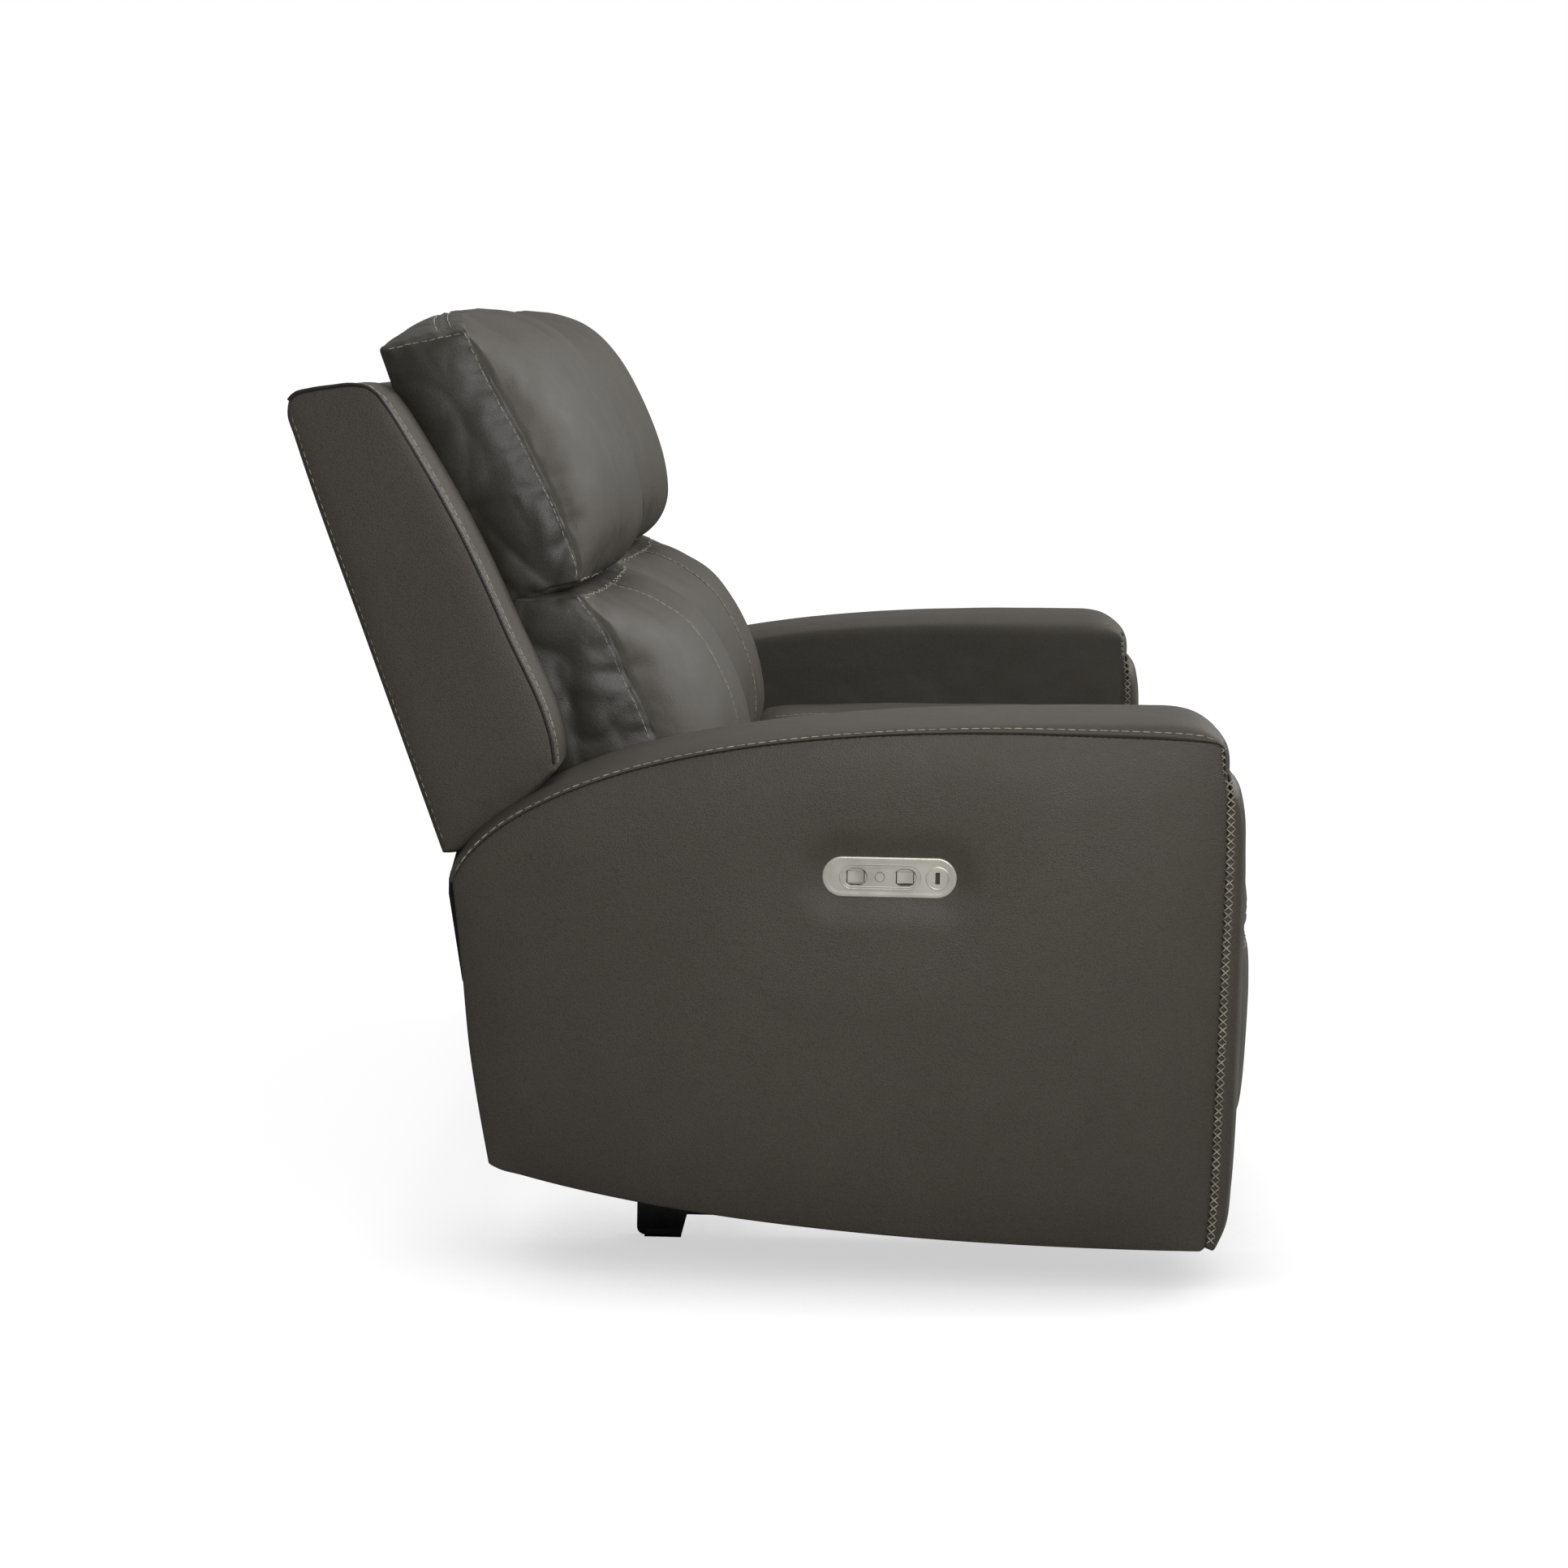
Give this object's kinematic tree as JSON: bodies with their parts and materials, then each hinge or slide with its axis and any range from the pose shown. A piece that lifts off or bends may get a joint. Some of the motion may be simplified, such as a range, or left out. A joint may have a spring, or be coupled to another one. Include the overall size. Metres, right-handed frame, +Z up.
{
  "type": "two-seat power reclining sofa",
  "caption": "Two-seat power reclining sofa in dark taupe leather, with footrests, backs and headrests that move on steel linkages, padded arms and side control panels.",
  "frame": {"origin": "on the floor, in the middle of the width and of the depth, with both seats upright and closed", "axes": "+X to the right of someone who faces the front, -Y the front, +Y the back, +Z up"},
  "size_m": [1.6, 1.075, 1.0349],
  "materials": {
    "grained_leather": "matt pebble grain",
    "smooth_leather": "semi-gloss, softly creased",
    "black_cloth": "matt cambric",
    "plywood": "raw, sanded",
    "black_steel": "gloss black paint",
    "grey_steel": "satin grey paint",
    "zinc_steel": "zinc plated",
    "black_plastic": "moulded",
    "satin_silver": "satin champagne silver"
  },
  "bodies": {
    "base": {"arm_frames": "plywood", "arm_covers": "grained_leather", "arm_caps": "smooth_leather", "arm_dust_covers": "black_cloth", "mechanism_base": "black_steel", "base_bolts": "zinc_steel", "rear_rail": "plywood", "power_supply": "black_plastic", "control_bezels": "satin_silver", "control_modules": "black_plastic"},
    "left_recline_rocker_body": {"left_recline_rocker": "satin_silver"},
    "left_headrest_rocker_body": {"left_headrest_rocker": "satin_silver"},
    "left_home_button_body": {"left_home_button": "satin_silver"},
    "left_carriage": {"left_carriage_plates": "black_steel", "left_seat_rails": "plywood", "left_seat_springs": "zinc_steel", "left_seat_cushion": "smooth_leather", "left_recline_motor": "black_plastic"},
    "left_front_swing": {"left_front_swing_links": "grey_steel"},
    "left_rear_swing": {"left_rear_swing_links": "grey_steel"},
    "left_back": {"left_back_brackets": "black_steel", "left_back_frame": "plywood", "left_back_shell": "grained_leather", "left_lumbar_cushion": "smooth_leather", "left_headrest_motor": "black_plastic"},
    "left_headrest": {"left_headrest_bracket": "zinc_steel", "left_head_cushion": "smooth_leather"},
    "left_rear_ottoman": {"left_rear_ottoman_links": "grey_steel"},
    "left_cross": {"left_cross_links": "grey_steel"},
    "left_front_ottoman": {"left_front_ottoman_links": "grey_steel"},
    "left_outer": {"left_outer_ottoman_links": "grey_steel", "left_flap": "smooth_leather"},
    "left_footrest": {"left_footrest_board": "plywood", "left_footrest_pad": "smooth_leather"},
    "left_drive": {"left_drive_block": "black_plastic"},
    "right_recline_rocker_body": {"right_recline_rocker": "satin_silver"},
    "right_headrest_rocker_body": {"right_headrest_rocker": "satin_silver"},
    "right_home_button_body": {"right_home_button": "satin_silver"},
    "right_carriage": {"right_carriage_plates": "black_steel", "right_seat_rails": "plywood", "right_seat_springs": "zinc_steel", "right_seat_cushion": "smooth_leather", "right_recline_motor": "black_plastic"},
    "right_front_swing": {"right_front_swing_links": "grey_steel"},
    "right_rear_swing": {"right_rear_swing_links": "grey_steel"},
    "right_back": {"right_back_brackets": "black_steel", "right_back_frame": "plywood", "right_back_shell": "grained_leather", "right_lumbar_cushion": "smooth_leather", "right_headrest_motor": "black_plastic"},
    "right_headrest": {"right_headrest_bracket": "zinc_steel", "right_head_cushion": "smooth_leather"},
    "right_rear_ottoman": {"right_rear_ottoman_links": "grey_steel"},
    "right_cross": {"right_cross_links": "grey_steel"},
    "right_front_ottoman": {"right_front_ottoman_links": "grey_steel"},
    "right_outer": {"right_outer_ottoman_links": "grey_steel", "right_flap": "smooth_leather"},
    "right_footrest": {"right_footrest_board": "plywood", "right_footrest_pad": "smooth_leather"},
    "right_drive": {"right_drive_block": "black_plastic"}
  },
  "joints": [
    {"name": "left_recline", "type": "slide", "parent": "base", "child": "left_carriage", "axis": [0, -0.8682, 0.4961], "range_m": [0, 0.08062]},
    {"name": "left_front_swing", "type": "hinge", "parent": "base", "child": "left_front_swing", "pos_m": [-0.3075, -0.3, 0.08], "axis": [1, 0, 0], "range_deg": [0, 24.55]},
    {"name": "left_rear_swing", "type": "hinge", "parent": "base", "child": "left_rear_swing", "pos_m": [-0.3075, 0.03, 0.08], "axis": [1, 0, 0], "range_deg": [0, 24.55]},
    {"name": "left_back_recline", "type": "hinge", "parent": "left_carriage", "child": "left_back", "pos_m": [-0.3075, 0.24, 0.232], "axis": [-1, 0, 0], "range_deg": [0, 32.05]},
    {"name": "left_rear_ottoman", "type": "hinge", "parent": "left_carriage", "child": "left_rear_ottoman", "pos_m": [-0.3075, -0.33, 0.29], "axis": [-1, 0, 0], "range_deg": [0, 95.1]},
    {"name": "left_cross", "type": "hinge", "parent": "left_rear_ottoman", "child": "left_cross", "pos_m": [-0.3075, -0.32259, 0.20532], "axis": [-1, 0, 0], "range_deg": [-137.9, 0]},
    {"name": "left_front_ottoman", "type": "hinge", "parent": "left_rear_ottoman", "child": "left_front_ottoman", "pos_m": [-0.3075, -0.31344, 0.10072], "axis": [-1, 0, 0], "range_deg": [-137.9, 0]},
    {"name": "left_outer", "type": "hinge", "parent": "left_front_ottoman", "child": "left_outer", "pos_m": [-0.3075, -0.36962, 0.20107], "axis": [-1, 0, 0], "range_deg": [0, 137.9]},
    {"name": "left_footrest", "type": "hinge", "parent": "left_front_ottoman", "child": "left_footrest", "pos_m": [-0.3075, -0.425, 0.3], "axis": [-1, 0, 0], "range_deg": [0, 134.9]},
    {"name": "left_drive_block", "type": "slide", "parent": "left_carriage", "child": "left_drive", "axis": [0, -1, 0], "range_m": [0, 0.1301]},
    {"name": "left_headrest", "type": "hinge", "parent": "left_back", "child": "left_headrest", "pos_m": [-0.3075, 0.30212, 0.79993], "axis": [1, 0, 0], "range_deg": [0, 28]},
    {"name": "left_recline_rocker_tip", "type": "hinge", "parent": "base", "child": "left_recline_rocker_body", "pos_m": [-0.792, -0.0734, 0.44], "axis": [0, 0, 1], "range_deg": [-8, 8], "stiffness_Nm_per_rad": 0.4},
    {"name": "left_headrest_rocker_tip", "type": "hinge", "parent": "base", "child": "left_headrest_rocker_body", "pos_m": [-0.792, -0.1255, 0.44], "axis": [0, 0, 1], "range_deg": [-8, 8], "stiffness_Nm_per_rad": 0.4},
    {"name": "left_home_press", "type": "slide", "parent": "base", "child": "left_home_button_body", "axis": [1, 0, 0], "range_m": [0, 0.0012], "stiffness_N_per_m": 600, "springref_m": -0.0005},
    {"name": "right_recline", "type": "slide", "parent": "base", "child": "right_carriage", "axis": [0, -0.8682, 0.4961], "range_m": [0, 0.08062]},
    {"name": "right_front_swing", "type": "hinge", "parent": "base", "child": "right_front_swing", "pos_m": [0.3075, -0.3, 0.08], "axis": [1, 0, 0], "range_deg": [0, 24.55]},
    {"name": "right_rear_swing", "type": "hinge", "parent": "base", "child": "right_rear_swing", "pos_m": [0.3075, 0.03, 0.08], "axis": [1, 0, 0], "range_deg": [0, 24.55]},
    {"name": "right_back_recline", "type": "hinge", "parent": "right_carriage", "child": "right_back", "pos_m": [0.3075, 0.24, 0.232], "axis": [-1, 0, 0], "range_deg": [0, 32.05]},
    {"name": "right_rear_ottoman", "type": "hinge", "parent": "right_carriage", "child": "right_rear_ottoman", "pos_m": [0.3075, -0.33, 0.29], "axis": [-1, 0, 0], "range_deg": [0, 95.1]},
    {"name": "right_cross", "type": "hinge", "parent": "right_rear_ottoman", "child": "right_cross", "pos_m": [0.3075, -0.32259, 0.20532], "axis": [-1, 0, 0], "range_deg": [-137.9, 0]},
    {"name": "right_front_ottoman", "type": "hinge", "parent": "right_rear_ottoman", "child": "right_front_ottoman", "pos_m": [0.3075, -0.31344, 0.10072], "axis": [-1, 0, 0], "range_deg": [-137.9, 0]},
    {"name": "right_outer", "type": "hinge", "parent": "right_front_ottoman", "child": "right_outer", "pos_m": [0.3075, -0.36962, 0.20107], "axis": [-1, 0, 0], "range_deg": [0, 137.9]},
    {"name": "right_footrest", "type": "hinge", "parent": "right_front_ottoman", "child": "right_footrest", "pos_m": [0.3075, -0.425, 0.3], "axis": [-1, 0, 0], "range_deg": [0, 134.9]},
    {"name": "right_drive_block", "type": "slide", "parent": "right_carriage", "child": "right_drive", "axis": [0, -1, 0], "range_m": [0, 0.1301]},
    {"name": "right_headrest", "type": "hinge", "parent": "right_back", "child": "right_headrest", "pos_m": [0.3075, 0.30212, 0.79993], "axis": [1, 0, 0], "range_deg": [0, 28]},
    {"name": "right_recline_rocker_tip", "type": "hinge", "parent": "base", "child": "right_recline_rocker_body", "pos_m": [0.792, -0.0734, 0.44], "axis": [0, 0, 1], "range_deg": [-8, 8], "stiffness_Nm_per_rad": 0.4},
    {"name": "right_headrest_rocker_tip", "type": "hinge", "parent": "base", "child": "right_headrest_rocker_body", "pos_m": [0.792, -0.1255, 0.44], "axis": [0, 0, 1], "range_deg": [-8, 8], "stiffness_Nm_per_rad": 0.4},
    {"name": "right_home_press", "type": "slide", "parent": "base", "child": "right_home_button_body", "axis": [-1, 0, 0], "range_m": [0, 0.0012], "stiffness_N_per_m": 600, "springref_m": -0.0005}
  ],
  "couplings": [
    {"joint": "left_front_swing", "follows": "left_recline", "rad_per_m": 5.3035},
    {"joint": "left_rear_swing", "follows": "left_recline", "rad_per_m": 5.3035},
    {"joint": "left_back_recline", "follows": "left_recline", "rad_per_m": 6.9274},
    {"joint": "left_rear_ottoman", "follows": "left_recline", "rad_per_m": 20.566},
    {"joint": "left_cross", "follows": "left_recline", "rad_per_m": -29.82},
    {"joint": "left_front_ottoman", "follows": "left_recline", "rad_per_m": -29.82},
    {"joint": "left_outer", "follows": "left_recline", "rad_per_m": 29.82},
    {"joint": "left_footrest", "follows": "left_recline", "rad_per_m": 29.171},
    {"joint": "left_drive_block", "follows": "left_recline", "ratio": 1.6124},
    {"joint": "right_front_swing", "follows": "right_recline", "rad_per_m": 5.3035},
    {"joint": "right_rear_swing", "follows": "right_recline", "rad_per_m": 5.3035},
    {"joint": "right_back_recline", "follows": "right_recline", "rad_per_m": 6.9274},
    {"joint": "right_rear_ottoman", "follows": "right_recline", "rad_per_m": 20.566},
    {"joint": "right_cross", "follows": "right_recline", "rad_per_m": -29.82},
    {"joint": "right_front_ottoman", "follows": "right_recline", "rad_per_m": -29.82},
    {"joint": "right_outer", "follows": "right_recline", "rad_per_m": 29.82},
    {"joint": "right_footrest", "follows": "right_recline", "rad_per_m": 29.171},
    {"joint": "right_drive_block", "follows": "right_recline", "ratio": 1.6124}
  ]
}
